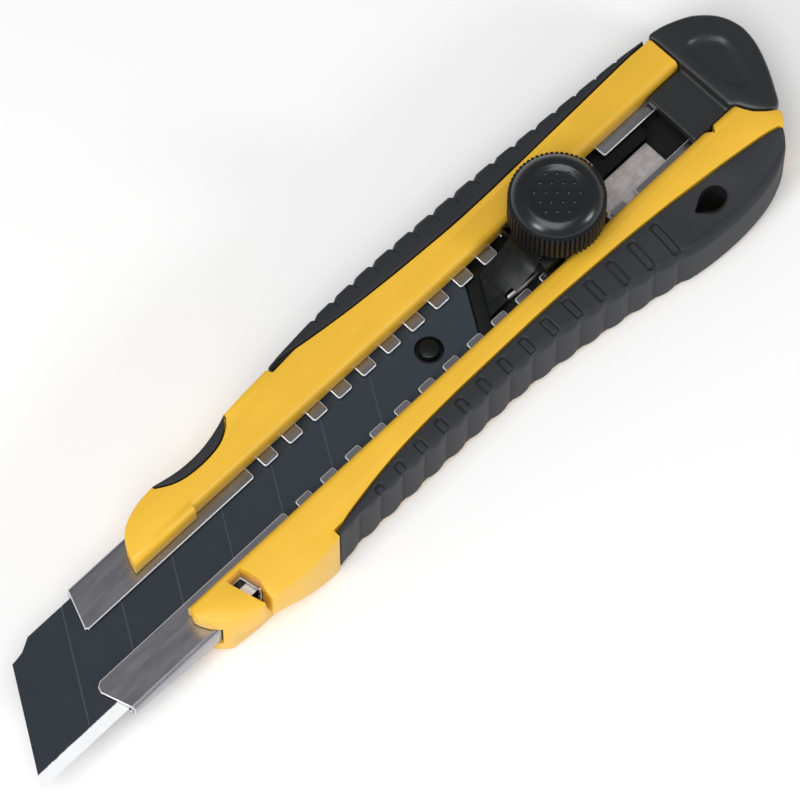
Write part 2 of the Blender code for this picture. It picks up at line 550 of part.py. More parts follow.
def make_slider():
    """Carriage: a tongue under the blade with its pin, wings under the lips, a ramp and a platform."""
    wing = BLADE_WIDTH / 2 - 0.1 * MM
    neck = LIP_GAP / 2 - CLEAR - 0.1 * MM
    low = CHANNEL_FLOOR + CLEAR
    rear = BLADE_TIP + BLADE_LENGTH + CLEAR * 1.2
    step = [(rear + blade_lean(-wing), -wing), (rear + blade_lean(wing), wing)]
    tail = PLATE_REAR + PLATE_TAIL + 1.0 * MM

    slider = plate("slider", [step[1], step[0], (PLATE_REAR, -wing), (PLATE_REAR, wing)],
                   BLADE_UNDER, BLADE_TOP, "utility_knife")
    tongue = plate("slider_tongue", [
        (PIN_X - 5.2 * MM, -5.0 * MM), (PIN_X - 3.2 * MM, -7.0 * MM), (PLATE_FRONT - CLEAR, -7.0 * MM),
        (PLATE_FRONT - CLEAR, 7.0 * MM), (PIN_X - 3.2 * MM, 7.0 * MM), (PIN_X - 5.2 * MM, 5.0 * MM)],
        TONGUE_TOP - 1.0 * MM, TONGUE_TOP)
    block = plate("slider_block", [
        (step[1][0] + 0.4 * MM, wing - 0.7 * MM), (step[0][0] + 0.9 * MM, -wing + 0.7 * MM),
        (PLATE_FRONT - CLEAR, -wing + 0.7 * MM), (PLATE_FRONT - CLEAR, wing - 0.7 * MM)],
        TONGUE_TOP - 1.3 * MM, BLADE_TOP - 0.1 * MM)
    pin = rod("slider_pin", PIN_RADIUS, PIN_X, TONGUE_TOP - 0.4 * MM, BLADE_TOP + PIN_RISE, sides=24)
    round_edges(pin, 0.3 * MM, 2)
    lead = 2.3 * MM
    ramp_front = rear + blade_lean(0) + lead
    ramp_rear = KNOB_X - 6.5 * MM
    ramp = [(ramp_front + (ramp_rear - ramp_front) * math.sin(math.radians(a)),
             PLATFORM_TOP - (PLATFORM_RISE - 0.5 * MM) * math.cos(math.radians(a)))
            for a in range(0, 91, 6)]
    column_rear = KNOB_X + 6.3 * MM
    foot = ramp_front - blade_lean(neck)
    column = slab("slider_neck", [(foot, BLADE_UNDER + 0.1 * MM), (foot, ramp[0][1])] + ramp + [
        (column_rear, PLATFORM_TOP), (column_rear, BLADE_UNDER + 0.1 * MM)], -neck, neck)
    slant = plate("ramp_front_slant", [
        (rear + lead + blade_lean(-wing), -wing), (rear + lead + blade_lean(wing), wing),
        (rear - BLADE_SLANT, wing), (rear - BLADE_SLANT, -wing)], BELOW, ABOVE)
    cut(column, slant)
    shelf = box("slider_shelf", ramp_rear - 0.1 * MM, column_rear - 0.2 * MM, -SLOT_HALF + 2 * CLEAR,
                SLOT_HALF - 2 * CLEAR, LIP_TOP + CLEAR, PLATFORM_TOP - 0.6 * MM)
    arm = plate("slider_tail", [
        (PLATE_REAR - 2 * MM, 1.5 * MM), (tail, 1.5 * MM), (tail, 6.0 * MM), (PLATE_REAR - 2 * MM, 6.0 * MM)],
        TONGUE_TOP + 0.35 * MM, BLADE_TOP - 0.05 * MM)
    rail = plate("slider_tail_rail", [
        (PLATE_REAR + 1 * MM, 1.8 * MM), (tail - 0.2 * MM, 1.8 * MM), (tail - 0.2 * MM, 5.7 * MM),
        (PLATE_REAR + 1 * MM, 5.7 * MM)], low, TONGUE_TOP + 0.6 * MM)
    bore = rod("slider_bore", SCREW_RADIUS + CLEAR, KNOB_X, BELOW, ABOVE)
    spring_seat = box("detent_seat", DETENT_FRONT - CLEAR, DETENT_FRONT + DETENT_LENGTH + CLEAR,
                      -SLOT_HALF, -neck + DETENT_DEPTH, DETENT_LOW - CLEAR, DETENT_LOW + DETENT_WIDTH + CLEAR)
    join(slider, tongue, block, pin, column, shelf, arm, rail)
    cut(slider, bore, spring_seat)
    finish(slider, BLACK, 0.2, origin=(KNOB_X, 0, LIP_TOP))


def bowed_strip(front, length, base, bow, thick):
    """Outline of a strip that bows once between its ends."""
    steps = 12
    line = [(front + length * i / steps, base + bow * math.sin(math.pi * i / steps) ** 2)
            for i in range(steps + 1)]
    return line + [(x, v + thick) for x, v in reversed(line)]


def make_springs():
    """Two steel strips on the slider: one lifts the blade to the lips, one clicks along the teeth."""
    low = CHANNEL_FLOOR + CLEAR
    high = TONGUE_TOP - 1.0 * MM - CLEAR
    bow = high - low - SPRING_THICK
    profile = bowed_strip(PIN_X - 3.0 * MM, 13.5 * MM, low, bow, SPRING_THICK)
    spring = slab("leaf_spring", profile, -2.6 * MM, 2.6 * MM, "utility_knife")
    finish(spring, STEEL, 0.3, 1.0, origin=(KNOB_X, 0, LIP_TOP))

    inner = -LIP_GAP / 2 + 2 * CLEAR + SPRING_THICK
    outline = bowed_strip(DETENT_FRONT, DETENT_LENGTH, inner, -0.25 * MM, -SPRING_THICK)
    spring = plate("detent_spring", outline, DETENT_LOW, DETENT_LOW + DETENT_WIDTH, "utility_knife")
    finish(spring, STEEL, 0.25, 1.0, origin=(KNOB_X, 0, LIP_TOP))


# ---------------------------------------------------------------- lock

def make_lock():
    plate_top = TONGUE_TOP
    plate_low = plate_top - PLATE_THICK
    head_top = plate_low - CLEAR
    head_low = head_top - HEAD_THICK
    square = SCREW_RADIUS
    axis = (KNOB_X, 0, KNOB_LOW)

    half = BLADE_WIDTH / 2 - 1.5 * MM
    tail_end = PLATE_REAR + PLATE_TAIL
    clamp = plate("clamp_plate", [
        (PLATE_FRONT, -half), (PLATE_REAR, -half), (PLATE_REAR + 2 * MM, 2.3 * MM - half),
        (tail_end, 2.3 * MM - half), (tail_end, 1.2 * MM), (PLATE_REAR, 1.2 * MM),
        (PLATE_REAR, half), (PLATE_FRONT, half)], plate_low, plate_top, "utility_knife")
    hole = box("clamp_square_hole", KNOB_X - square - CLEAR, KNOB_X + square + CLEAR,
               -square - CLEAR, square + CLEAR, BELOW, ABOVE)
    cut(clamp, hole)
    finish(clamp, STEEL, 0.35, 1.0, origin=axis)

    screw_top = KNOB_TOP - 2.6 * MM
    screw = rod("lock_screw", HEAD_RADIUS, KNOB_X, head_low, head_top, "utility_knife", 32)
    neck = box("screw_square", KNOB_X - square, KNOB_X + square, -square, square,
               head_top - 0.2 * MM, plate_top + 0.1 * MM)
    shank = rod("screw_shank", SCREW_RADIUS - 0.01 * MM, KNOB_X, plate_top - 0.2 * MM, screw_top)
    join(screw, neck, shank)
    finish(screw, STEEL, 0.3, 1.0, origin=axis)

    washer = rod("washer", WASHER_RADIUS, KNOB_X, WASHER_LOW, WASHER_LOW + WASHER_THICK, "utility_knife")
    cut(washer, rod("washer_bore", SCREW_RADIUS + CLEAR, KNOB_X, BELOW, ABOVE))
    finish(washer, STEEL, 0.3, 1.0, origin=axis)

    insert_low = KNOB_LOW - CLEAR
    insert_top = screw_top + CLEAR
    insert = rod("knob_insert", INSERT_RADIUS, KNOB_X, insert_low, insert_top, "utility_knife", 24)
    cut(insert, rod("insert_bore", SCREW_RADIUS + CLEAR, KNOB_X, BELOW, ABOVE, sides=24))
    finish(insert, BRASS, 0.35, 1.0, origin=axis)

    turn = 2 * math.pi / KNURLS
    ring = []
    for i in range(KNURLS):
        for share, radius in ((0.0, KNOB_RADIUS - 0.25 * MM), (0.35, KNOB_RADIUS), (0.65, KNOB_RADIUS)):
            angle = turn * (i + share)
            ring.append((KNOB_X + radius * math.cos(angle), radius * math.sin(angle)))
    skirt_top = KNOB_TOP - 1.6 * MM
    knob = plate("lock_knob", ring, KNOB_LOW, skirt_top, "utility_knife")
    crown = turned("knob_crown", [
        (0, skirt_top - 0.5 * MM), (KNOB_RADIUS - 0.45 * MM, skirt_top - 0.5 * MM),
        (KNOB_RADIUS - 0.45 * MM, skirt_top + 0.5 * MM), (KNOB_RADIUS - 0.9 * MM, KNOB_TOP - 0.5 * MM),
        (KNOB_RADIUS - 1.9 * MM, KNOB_TOP + 0.1 * MM), (4.4 * MM, KNOB_TOP + 0.25 * MM),
        (4.0 * MM, KNOB_TOP), (2.0 * MM, KNOB_TOP + 0.3 * MM), (0, KNOB_TOP + 0.4 * MM)], KNOB_X)
    seat = rod("insert_seat", INSERT_RADIUS + CLEAR, KNOB_X, BELOW, insert_top + CLEAR, sides=24)
    join(knob, crown)
    cut(knob, seat)
    finish(knob, BLACK, 0.3, origin=axis)


def turned(name, profile, x, steps=48):
    """A profile in radius and height, spun about the vertical axis at x."""
    mesh = bpy.data.meshes.new(name)
    work = bmesh.new()
    corners = [work.verts.new((r, 0, z)) for r, z in profile]
    rims = [work.edges.new(pair) for pair in zip(corners, corners[1:])]
    bmesh.ops.spin(work, geom=corners + rims, cent=(0, 0, 0), axis=(0, 0, 1), angle=2 * math.pi,
                   steps=steps, use_merge=True)
    bmesh.ops.remove_doubles(work, verts=work.verts, dist=1e-6)
    bmesh.ops.recalc_face_normals(work, faces=work.faces)
    bmesh.ops.translate(work, verts=work.verts, vec=(x, 0, 0))
    work.to_mesh(mesh)
    work.free()
    return place(mesh, name, "cutters")


clear_scene()
make_body()
make_grips()
make_channel()
make_end_cap()
make_blade()
make_slider()
make_springs()
make_lock()
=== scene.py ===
"""Looks of the snap-off utility knife: yellow handle, rubber grips, steel channel, black blade, screw wheel."""

import json
import math

import bpy
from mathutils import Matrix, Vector

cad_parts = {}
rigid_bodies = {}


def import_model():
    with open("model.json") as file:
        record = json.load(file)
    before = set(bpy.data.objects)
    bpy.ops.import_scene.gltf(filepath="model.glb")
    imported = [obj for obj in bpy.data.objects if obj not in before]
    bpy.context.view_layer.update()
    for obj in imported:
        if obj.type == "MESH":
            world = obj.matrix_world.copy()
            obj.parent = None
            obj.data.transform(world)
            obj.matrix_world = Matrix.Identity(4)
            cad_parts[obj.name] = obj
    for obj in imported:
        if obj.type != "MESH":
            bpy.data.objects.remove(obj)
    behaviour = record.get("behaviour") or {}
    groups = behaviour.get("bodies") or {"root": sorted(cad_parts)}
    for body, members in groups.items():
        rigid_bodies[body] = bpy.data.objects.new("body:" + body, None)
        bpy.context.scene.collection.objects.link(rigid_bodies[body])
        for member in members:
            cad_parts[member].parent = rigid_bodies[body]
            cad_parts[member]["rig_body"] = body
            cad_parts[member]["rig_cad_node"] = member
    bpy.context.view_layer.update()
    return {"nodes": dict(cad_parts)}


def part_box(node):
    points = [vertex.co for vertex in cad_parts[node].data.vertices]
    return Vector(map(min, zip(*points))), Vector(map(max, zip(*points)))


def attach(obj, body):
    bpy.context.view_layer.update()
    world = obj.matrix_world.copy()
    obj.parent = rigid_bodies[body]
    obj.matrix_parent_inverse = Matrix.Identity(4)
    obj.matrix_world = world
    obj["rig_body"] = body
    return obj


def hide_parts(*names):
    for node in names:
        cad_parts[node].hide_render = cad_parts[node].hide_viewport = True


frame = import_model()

MM = 0.001
nodes = frame["nodes"]


# ---------------------------------------------------------------------------------------------
# Studio. A wide white table under the knife, lit from above by a broad ceiling panel. Two low
# windows, one to the near right and one to the left, draw the glints on the steel and the wheel.

def linear(code):
    """An sRGB hex colour as the linear colour that a shader takes."""
    parts = [int(code[i:i + 2], 16) / 255 for i in (1, 3, 5)]
    return (*(c / 12.92 if c <= 0.04045 else ((c + 0.055) / 1.055) ** 2.4 for c in parts), 1)


def add_node(tree, kind, settings=(), links=()):
    """Adds one shader node: settings are (input or property, value), links (input, output socket)."""
    node = tree.nodes.new(kind)
    for key, value in settings:
        if isinstance(key, str) and hasattr(node, key):
            setattr(node, key, value)
        else:
            node.inputs[key].default_value = value
    for key, socket in links:
        tree.links.new(socket, node.inputs[key])
    return node


def new_material(name, colour, roughness, metallic=0.0, ior=None, coat=0.0):
    """A Principled material with its constants on the shader; returns it, its tree and its shader."""
    material = bpy.data.materials.new(name)
    material.use_nodes = True
    shader = material.node_tree.nodes["Principled BSDF"]
    shader.inputs["Base Color"].default_value = linear(colour)
    shader.inputs["Roughness"].default_value = roughness
    shader.inputs["Metallic"].default_value = metallic
    shader.inputs["Coat Weight"].default_value = coat
    if ior:
        shader.inputs["IOR"].default_value = ior
    return material, material.node_tree, shader


def soft_box(name, place, target, size, watts, colour="#ffffff"):
    """An area light that looks at its target."""
    data = bpy.data.lights.new(name, "AREA")
    data.shape = "RECTANGLE"
    data.size, data.size_y = size
    data.energy = watts
    data.color = linear(colour)[:3]
    light = bpy.data.objects.new(name, data)
    bpy.context.scene.collection.objects.link(light)
    light.location = place
    light.rotation_euler = (Vector(target) - Vector(place)).to_track_quat("-Z", "Y").to_euler()


middle = Vector((23.3 * MM, -2.9 * MM, 9.0 * MM))
azimuth, elevation, distance = math.radians(-45.0), math.radians(67.0), 0.9
away = Vector((math.sin(azimuth) * math.cos(elevation), -math.cos(azimuth) * math.cos(elevation),
               math.sin(elevation)))
camera_data = bpy.data.cameras.new("camera")
camera_data.lens = 279.5
camera_data.sensor_width = 36.0
camera_data.clip_start = 0.05
camera = bpy.data.objects.new("camera", camera_data)
bpy.context.scene.collection.objects.link(camera)
camera.location = middle + away * distance
camera.rotation_euler = away.to_track_quat("Z", "Y").to_euler()
bpy.context.scene.camera = camera

world = bpy.data.worlds.new("studio")
world.use_nodes = True
world.node_tree.nodes["Background"].inputs["Color"].default_value = linear("#ffffff")
world.node_tree.nodes["Background"].inputs["Strength"].default_value = 0.27
bpy.context.scene.world = world
bpy.context.scene.view_settings.view_transform = "Standard"

soft_box("right_window", (0.44, -0.74, 0.38), middle, (0.20, 0.16), 1.9)
soft_box("left_window", (-0.66, -0.06, 0.40), middle, (0.18, 0.24), 2.2)
soft_box("ceiling", (-0.40, -0.22, 1.10), middle, (0.90, 0.90), 9.2)

bpy.ops.mesh.primitive_plane_add(size=8.0, location=(0, 0, -0.0004))
floor = bpy.context.object
floor.name = "table"
# A matt white table: it takes a soft shadow and stays nearly as light as the background.
paper, tree, shader = new_material("matt_white_table", "#f6f6f6", 0.9)
shader.inputs["Emission Color"].default_value = linear("#ffffff")
shader.inputs["Emission Strength"].default_value = 0.06
floor.data.materials.append(paper)


# ---------------------------------------------------------------------------------------------
# Handle body: one moulding of yellow ABS, with two rails beside the slot. Its mould is spark-eroded
# to a fine satin, its edges are softened, and the grips' seats are hollows in its flanks.

def alone(obj):
    """Makes obj the only selected and the active object."""
    bpy.ops.object.select_all(action="DESELECT")
    obj.select_set(True)
    bpy.context.view_layer.objects.active = obj


def refined_copy(node, name, width, segments=3, angle=30):
    """A copy of a CAD node with its flat faces whole again and its edges softened."""
    piece = nodes[node].copy()
    piece.data = nodes[node].data.copy()
    piece.parent = None
    piece.name = name
    piece.data.name = name
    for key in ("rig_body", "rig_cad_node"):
        if key in piece:
            del piece[key]
    piece.data.materials.clear()
    bpy.context.scene.collection.objects.link(piece)
    alone(piece)
    bpy.ops.object.mode_set(mode="EDIT")
    bpy.ops.mesh.select_all(action="SELECT")
    bpy.ops.mesh.remove_doubles(threshold=2e-6)
    bpy.ops.mesh.dissolve_limited(angle_limit=math.radians(1.0))
    bpy.ops.object.mode_set(mode="OBJECT")
    if width:
        soften = piece.modifiers.new("soften", "BEVEL")
        soften.width = width
        soften.segments = segments
        soften.limit_method = "ANGLE"
        soften.angle_limit = math.radians(angle)
        bpy.ops.object.modifier_apply(modifier=soften.name)
    bpy.ops.object.shade_smooth_by_angle(angle=math.radians(35))
    return piece


body = refined_copy("body", "handle_body", 0.25 * MM)


def even_noise(tree, grain, detail, roughness=0.5):
    """The socket of a noise whose patches are about grain metres wide."""
    place = add_node(tree, "ShaderNodeTexCoord")
    patches = add_node(tree, "ShaderNodeTexNoise",
                       [("Scale", 1 / grain), ("Detail", detail), ("Roughness", roughness)],
                       [("Vector", place.outputs["Object"])])
    return patches.outputs["Fac"]


def bump_from(tree, shader, height, depth):
    """Lets a height socket raise the surface by up to depth metres."""
    bump = add_node(tree, "ShaderNodeBump", [("Distance", depth)], [("Height", height)])
    tree.links.new(bump.outputs["Normal"], shader.inputs["Normal"])


def moulded_grain(tree, shader, grain, depth, colour, spread):
    """Fine mould texture as bump, with a faint cloudiness in the colour; grain and depth in metres."""
    bump_from(tree, shader, even_noise(tree, grain, 3.0, 0.6), depth)
    cloud = 9 * MM
    ramp = add_node(tree, "ShaderNodeValToRGB", (), [("Fac", even_noise(tree, cloud, 2.0))])
    low, high = ramp.color_ramp.elements
    low.position, high.position = 0.3, 0.7
    low.color = tuple(c * (1 - spread) for c in linear(colour)[:3]) + (1,)
    high.color = tuple(min(1, c * (1 + spread)) for c in linear(colour)[:3]) + (1,)
    tree.links.new(ramp.outputs["Color"], shader.inputs["Base Color"])


# Satin ABS: an even, warm yellow with wide, soft highlights and no mirror image.
yellow, tree, shader = new_material("satin_yellow_abs", "#f0bd38", 0.38, ior=1.50)
moulded_grain(tree, shader, 0.25 * MM, 0.004 * MM, "#f0bd38", 0.03)
body.data.materials.append(yellow)
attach(body, "handle")
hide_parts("body")


# ---------------------------------------------------------------------------------------------
# Rubber grips: soft black TPR moulded over the handle's flanks. The edge grip has a row of bars
# outlined in its top, each at the foot of a crease, so that its side swells between them. The spine
# grip has thin nicks on top and steps along its back. A dark groove parts both from the yellow.

# Matt TPR: a deep grey that hardly shines, so that only its creases, bars and nicks draw lines.
rubber, tree, shader = new_material("matt_black_tpr", "#292a2e", 0.62, ior=1.42)
moulded_grain(tree, shader, 0.18 * MM, 0.006 * MM, "#292a2e", 0.06)


def ray_y(node, x, y, z, towards):
    """Where a ray from (x, y, z) along Y meets a CAD node, or None."""
    hit, point, normal, face = nodes[node].ray_cast((x, y, z), (0, towards, 0))
    return point.y if hit else None


def smoothstep(low, high, value):
    """0 below low, 1 above high, and an even S between them."""
    t = min(1.0, max(0.0, (value - low) / (high - low)))
    return t * t * (3 - 2 * t)


def grip_section(inner, outer, top, bottom, crease_share, crease_drop):
    """A grip's outer line as (outward, height) points: seam, top, crease, side and foot."""
    width = outer - inner
    crease = inner + width * crease_share
    bend = outer - crease
    shoulder = top - crease_drop
    tuck, seam_round = 0.22 * MM, 0.16 * MM
    points = [(inner - tuck, top - 1.15 * MM), (inner - tuck, top - 1.0 * MM),
              (inner, top - 0.9 * MM), (inner, top - seam_round), (inner + seam_round, top)]
    points += [(inner + (crease - inner) * k / 4, top - crease_drop * (k / 4) ** 2)
               for k in range(1, 5)]
    quarter = [math.radians(a) for a in range(15, 91, 15)]
    reach = min(1.6 * MM, 0.30 * (top - bottom))
    points += [(crease + bend * math.sin(a), shoulder - reach * (1 - math.cos(a))) for a in quarter]
    waist = bottom + 0.35 * (top - bottom)
    points += [(outer, waist)]
    foot, foot_height = min(0.6 * MM, 0.35 * width), 2.0 * MM
    points += [(outer - foot * (1 - math.cos(a)), bottom + foot_height * (1 - math.sin(a)))
               for a in quarter]
    return points


def walk(points, count):
    """count evenly spaced points along a line, with the outward normal and the length so far at each."""
    lengths = [0.0]
    for a, b in zip(points, points[1:]):
        lengths.append(lengths[-1] + math.hypot(b[0] - a[0], b[1] - a[1]))
    steps = []
    span = 0
    for i in range(count):
        at = lengths[-1] * i / (count - 1)
        while span < len(points) - 2 and lengths[span + 1] < at:
            span += 1
        a, b = points[span], points[span + 1]
        run = lengths[span + 1] - lengths[span]
        t = (at - lengths[span]) / run
        along = ((b[0] - a[0]) / run, (b[1] - a[1]) / run)
        steps.append((a[0] + (b[0] - a[0]) * t, a[1] + (b[1] - a[1]) * t, -along[1], along[0], at))
    return steps


def grip_skin(name, node, side, stations, rows, shares, relief):
    """A grip as one closed wall, wrapped from the seam over the top and down the side, and back inside.

    shares(x) gives the crease's place and drop, and relief(...) the lift along the surface's normal.
    """
    low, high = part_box(node)
    end_gap, wall, seam_run = 0.15 * MM, 0.6 * MM, 1.29 * MM
    start, end = low.x + end_gap, high.x - end_gap
    loop = rows + 4  # the steps past the rows close the wall along its inside
    bpy.ops.object.select_all(action="DESELECT")
    bpy.ops.mesh.primitive_grid_add(x_subdivisions=stations, y_subdivisions=loop, size=1.0)
    piece = bpy.context.object
    piece.name = name
    sections = {}
    for vert in piece.data.vertices:
        i = round((vert.co.x + 0.5) * stations)
        j = round((vert.co.y + 0.5) * loop)
        if i not in sections:
            x = start + (end - start) * i / stations
            inner = ray_y(node, x, 0, high.z - 1.0 * MM, side)
            outer = ray_y(node, x, side * 0.1, (low.z + high.z) / 2, -side)
            share, drop = shares(x)
            points = grip_section(side * inner, side * outer, high.z, low.z, share, drop)
            sections[i] = (x, side * inner, side * outer, walk(points, rows + 1))
        x, inner, outer, line = sections[i]
        if rows < j < loop:
            back = outer - min(wall, 0.4 * (outer - inner))
            out, z = ((back, low.z + 0.2 * MM), (back, high.z - 1.9 * MM),
                      (inner + 0.1 * MM, high.z - 1.4 * MM))[j - rows - 1]
            vert.co = (x, side * out, z)
            continue
        out, z, normal_out, normal_z, at = line[0 if j == loop else j]
        lift = relief(x, out, z, at - seam_run, inner, outer)
        vert.co = (x, side * (out + normal_out * lift), z + normal_z * lift)
    alone(piece)
    bpy.ops.object.mode_set(mode="EDIT")
    bpy.ops.mesh.select_all(action="SELECT")
    bpy.ops.mesh.remove_doubles(threshold=1e-7)
    bpy.ops.mesh.select_mode(type="EDGE")
    bpy.ops.mesh.select_all(action="DESELECT")
    bpy.ops.mesh.select_non_manifold()
    bpy.ops.mesh.fill_holes(sides=0)
    bpy.ops.mesh.select_all(action="SELECT")
    bpy.ops.mesh.normals_make_consistent(inside=False)
    bpy.ops.object.mode_set(mode="OBJECT")
    bpy.ops.object.shade_smooth_by_angle(angle=math.radians(40))
    piece.data.materials.append(rubber)
    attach(piece, "handle")
    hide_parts(node)
    return piece


bar_first, bar_pitch, bar_count = 10.4 * MM, 4.42 * MM, 14
bar_half, bar_corner = 0.62 * MM, 0.3 * MM
hole_x, hole_y = 77.4 * MM, 13.5 * MM


def edge_shares(x):
    """How far out the edge grip's crease lies at x, as a share of its width, and how deep it drops."""
    tail = smoothstep(45 * MM, 75 * MM, x)
    return 0.74 + 0.06 * tail, (0.15 + 1.5 * tail) * MM


def edge_relief(x, out, z, at, inner, outer):
    """Bars, creases and the lanyard hole's dish, as a lift along the surface's normal."""
    nearest = max(-1, min(bar_count - 1, round((x - bar_first) / bar_pitch)))
    off = x - bar_first - nearest * bar_pitch
    share, drop = edge_shares(x)
    top_width = (outer - inner) * share
    lift = 0.0
    if nearest >= 0:
        start, end = 0.75 * MM, top_width + 0.55 * MM
        across = abs(off) - bar_half + bar_corner
        along = abs(at - (start + end) / 2) - (end - start) / 2 + bar_corner
        edge = math.hypot(max(across, 0), max(along, 0)) + min(max(across, along), 0) - bar_corner
        lift -= 0.30 * MM * (1 - smoothstep(0.06 * MM, 0.21 * MM, abs(edge)))
    swell = abs(math.sin(math.pi * (x - bar_first) / bar_pitch)) ** 0.75
    run = smoothstep(2.0 * MM, 4.5 * MM, x) * (1 - smoothstep(69.5 * MM, 71.0 * MM, x))
    lift -= 0.58 * MM * (1 - swell) * run * smoothstep(top_width - 0.2 * MM, top_width + 1.6 * MM, at)
    dish = math.hypot((x - hole_x + 1.5 * MM) / (8.5 * MM), (out - hole_y) / (4.0 * MM))
    lift -= 0.55 * MM * (1 - smoothstep(0.3, 1.0, dish)) * (1 if z > 8 * MM else 0)
    return lift


edge_grip = grip_skin("edge_grip_skin", "edge_grip", -1, 740, 84, edge_shares, edge_relief)


hole_reach, hole_half, arc_steps = 2.5 * MM, 1.95 * MM, 32
hole_tip = ((-3.30 * MM, 0.50 * MM), (-3.45 * MM, 0.28 * MM), (-3.30 * MM, 0.02 * MM))


def drop_wall(name, grow, bottom, top):
    """The lanyard hole's drop shape as an upright closed column, grown outwards by grow."""
    bpy.ops.object.select_all(action="DESELECT")
    bpy.ops.mesh.primitive_circle_add(vertices=arc_steps + 1 + len(hole_tip), radius=1.0, fill_type="NGON")
    column = bpy.context.object
    column.name = name
    for k, vert in enumerate(column.data.vertices):
        angle = math.radians(-126 + 252 * k / arc_steps)
        if k > arc_steps:
            tip_x, tip_y = hole_tip[k - arc_steps - 1]
            vert.co = (hole_x + tip_x - grow, tip_y - hole_y, bottom)
        else:
            vert.co = (hole_x + (hole_reach + grow) * math.cos(angle),
                       (hole_half + grow) * math.sin(angle) - hole_y, bottom)
    alone(column)
    bpy.ops.object.mode_set(mode="EDIT")
    bpy.ops.mesh.select_all(action="SELECT")
    bpy.ops.mesh.extrude_region_move(TRANSFORM_OT_translate={"value": (0, 0, top - bottom)})
    bpy.ops.mesh.select_all(action="SELECT")
    bpy.ops.mesh.normals_make_consistent(inside=False)
    bpy.ops.object.mode_set(mode="OBJECT")
    return column


def bore(piece, cutter):
    """Takes cutter out of piece and deletes it."""
    alone(piece)
    boolean = piece.modifiers.new("bore", "BOOLEAN")
    boolean.operation = "DIFFERENCE"
    boolean.solver = "EXACT"
    boolean.object = cutter
    bpy.ops.object.modifier_apply(modifier=boolean.name)
    bpy.data.objects.remove(cutter)


grip_low, grip_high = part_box("edge_grip")
below, above = -2 * MM, 15 * MM
bore(edge_grip, drop_wall("hole_cutter", -0.14 * MM, below, above))
lining = drop_wall("hole_lining", -0.03 * MM, grip_low.z + 0.3 * MM, grip_high.z - 0.9 * MM)
bore(lining, drop_wall("lining_cutter", -0.16 * MM, below, above))
# Painted shade: the wall of the bore is coloured almost black, darker than the grip's rubber, because hardly
# any light reaches down it.
bore_shade_tpr, tree, shader = new_material("painted_shade_bore_tpr", "#0d0d0e", 0.8, ior=1.42)
moulded_grain(tree, shader, 0.4 * MM, 0.010 * MM, "#0d0d0e", 0.1)
lining.data.materials.append(bore_shade_tpr)
alone(edge_grip)
lining.select_set(True)
bpy.ops.object.join()

nick_first, nick_pitch, nick_count, step_depth = 22.4 * MM, 4.05 * MM, 16, 0.40 * MM


def spine_shares(x):
    """The spine grip's crease: its share of the width and its drop, the same all along."""
    return 0.72, 0.25 * MM


def spine_relief(x, out, z, at, inner, outer):
    """Steps along the back and a thin nick on top at the head of each."""
    phase = (x - nick_first) / nick_pitch
    nearest = round(phase)
    off = (phase - nearest) * nick_pitch
    width = outer - inner
    past = smoothstep(0, 1.5 * MM, x - nick_first - (nick_count - 0.3) * nick_pitch)
    inside = smoothstep(nick_first - 1.2 * MM, nick_first, x) * (1 - past)
    lift = 0.0
    reach = smoothstep(width * 0.42, width * 0.5, at)
    if 0 <= nearest < nick_count:
        lift -= 0.2 * MM * (1 - smoothstep(0.04 * MM, 0.2 * MM, abs(off))) * reach
    share = phase - math.floor(phase)
    step = 1 - smoothstep(0.0, 0.30, share) + smoothstep(0.86, 1.0, share)
    side_face = smoothstep(width * 0.62, width * 0.62 + 1.2 * MM, at)
    lift -= step_depth * step * inside * side_face
    lift -= step_depth * past * side_face
    return lift


spine_grip = grip_skin("spine_grip_skin", "spine_grip", 1, 600, 70, spine_shares, spine_relief)

thumb_pad = refined_copy("thumb_pad", "thumb_pad_rubber", 0.3 * MM)
thumb_pad.data.materials.append(rubber)
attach(thumb_pad, "handle")
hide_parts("thumb_pad")


# ---------------------------------------------------------------------------------------------
# Blade channel: one strip of spring steel folded to a C, its lips punched into teeth. The faces are
# satin from rolling, with fine lines along the strip; the lips' edges are burnished by the slider,
# and every sharp edge carries a painted highlight, a thin near-white outline.

channel = refined_copy("blade_channel", "channel_steel", 0)
lip, tooth_corner, fold_round = 3.4 * MM, 0.4 * MM, 0.9 * MM
bpy.ops.object.mode_set(mode="EDIT")
bpy.ops.mesh.select_mode(type="EDGE")
bpy.ops.mesh.select_all(action="DESELECT")
bpy.ops.object.mode_set(mode="OBJECT")
for crease in channel.data.edges:
    a, b = (channel.data.vertices[i].co for i in crease.vertices)
    upright = abs(a.x - b.x) < 1e-5 and abs(a.y - b.y) < 1e-5
    crease.select = upright and abs(abs(a.y) - lip) < 2e-5 and -1 * MM < a.x < 73 * MM
bpy.ops.object.mode_set(mode="EDIT")
bpy.ops.mesh.bevel(offset=tooth_corner, segments=3, affect="EDGES")
bpy.ops.mesh.select_all(action="DESELECT")
bpy.ops.object.mode_set(mode="OBJECT")
_, fold_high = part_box("blade_channel")
for fold in channel.data.edges:
    a, b = (channel.data.vertices[i].co for i in fold.vertices)
    fold.select = (abs(a.y - b.y) < 1e-5 and abs(a.y) > fold_high.y - 2e-5 and
                   min(a.z, b.z) > fold_high.z - 2e-5)
bpy.ops.object.mode_set(mode="EDIT")
bpy.ops.mesh.bevel(offset=fold_round, segments=5, affect="EDGES")
bpy.ops.object.mode_set(mode="OBJECT")
# Both slots stand ready here, because the bevel gives its new faces to slot 1.
channel.data.materials.append(None)
channel.data.materials.append(None)
soften = channel.modifiers.new("soften", "BEVEL")
soften.width = 0.14 * MM
soften.segments = 2
# The bevel's faces take slot 1, the painted highlight on the edges.
soften.material = 1
soften.use_clamp_overlap = False
soften.limit_method = "ANGLE"
soften.angle_limit = math.radians(35)
bpy.ops.object.modifier_apply(modifier=soften.name)
bpy.ops.object.shade_smooth_by_angle(angle=math.radians(35))


